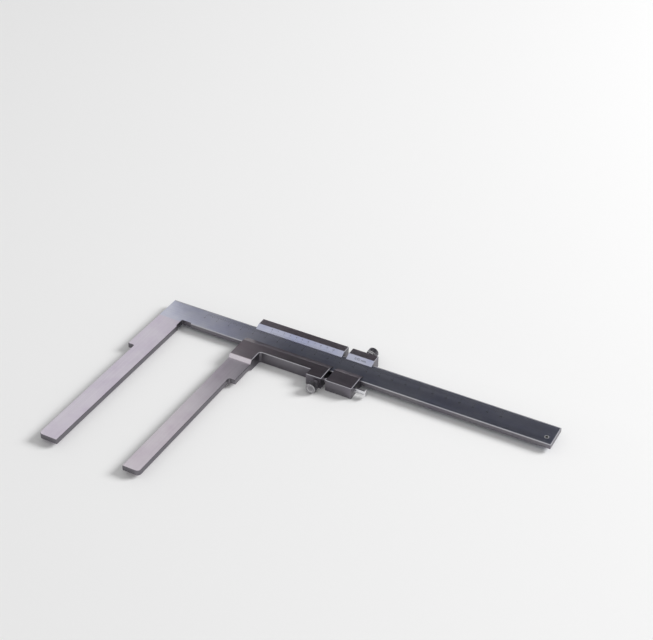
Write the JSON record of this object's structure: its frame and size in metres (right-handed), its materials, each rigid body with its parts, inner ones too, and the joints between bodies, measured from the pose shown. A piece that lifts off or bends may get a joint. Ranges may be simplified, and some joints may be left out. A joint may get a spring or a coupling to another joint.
{
  "type": "brake disc vernier caliper",
  "caption": "Long-jawed vernier caliper for brake discs: graduated beam with a fixed jaw, sliding jaw, fine-adjust block and knurled locking screws.",
  "frame": {"origin": "middle of the fixed jaw's measuring face: half way down the jaw's length and half way through its thickness", "axes": "+X along the beam in the opening direction, +Y from the jaw tips towards the beam, +Z out of the graduated front face"},
  "size_m": [0.3, 0.1865, 0.009],
  "materials": {
    "beam_steel": "satin, ground along its length",
    "slider_steel": "satin, ground",
    "bright_steel": "polished",
    "screw_steel": "turned and knurled",
    "bronze": "plain"
  },
  "bodies": {
    "beam": {"beam_fixed_jaw": "beam_steel", "end_stop_pin": "screw_steel"},
    "slider": {"slider_moving_jaw": "slider_steel", "slider_gib": "bronze", "gib_screw_left": "screw_steel", "gib_screw_right": "screw_steel", "lock_pad": "bronze", "spindle_retainer": "bright_steel"},
    "lock_screw": {"lock_screw": "screw_steel"},
    "adjust_block": {"adjust_block": "slider_steel", "block_gib": "bronze"},
    "clamp_screw": {"clamp_screw": "screw_steel"},
    "adjust_spindle": {"adjust_spindle": "bright_steel"}
  },
  "joints": [
    {"name": "slider_slide", "type": "slide", "parent": "beam", "child": "slider", "axis": [1, 0, 0], "range_m": [-0.05108, 0.1289]},
    {"name": "lock_screw_turn", "type": "hinge", "parent": "slider", "child": "lock_screw", "pos_m": [0.11635, 0.055, 0], "axis": [0, 1, 0], "range_deg": [-360, 0]},
    {"name": "adjust_block_slide", "type": "slide", "parent": "slider", "child": "adjust_block", "axis": [1, 0, 0], "range_m": [-0.0025, 0.0025]},
    {"name": "adjust_spindle_turn", "type": "hinge", "parent": "slider", "child": "adjust_spindle", "pos_m": [0.12, 0.0668, 0], "axis": [-1, 0, 0], "range_deg": [-1802, 1802]},
    {"name": "clamp_screw_turn", "type": "hinge", "parent": "adjust_block", "child": "clamp_screw", "pos_m": [0.1355, 0.11, 0], "axis": [0, -1, 0], "range_deg": [-360, 0]}
  ],
  "couplings": [
    {"joint": "adjust_spindle_turn", "follows": "adjust_block_slide", "rad_per_m": 12566}
  ]
}
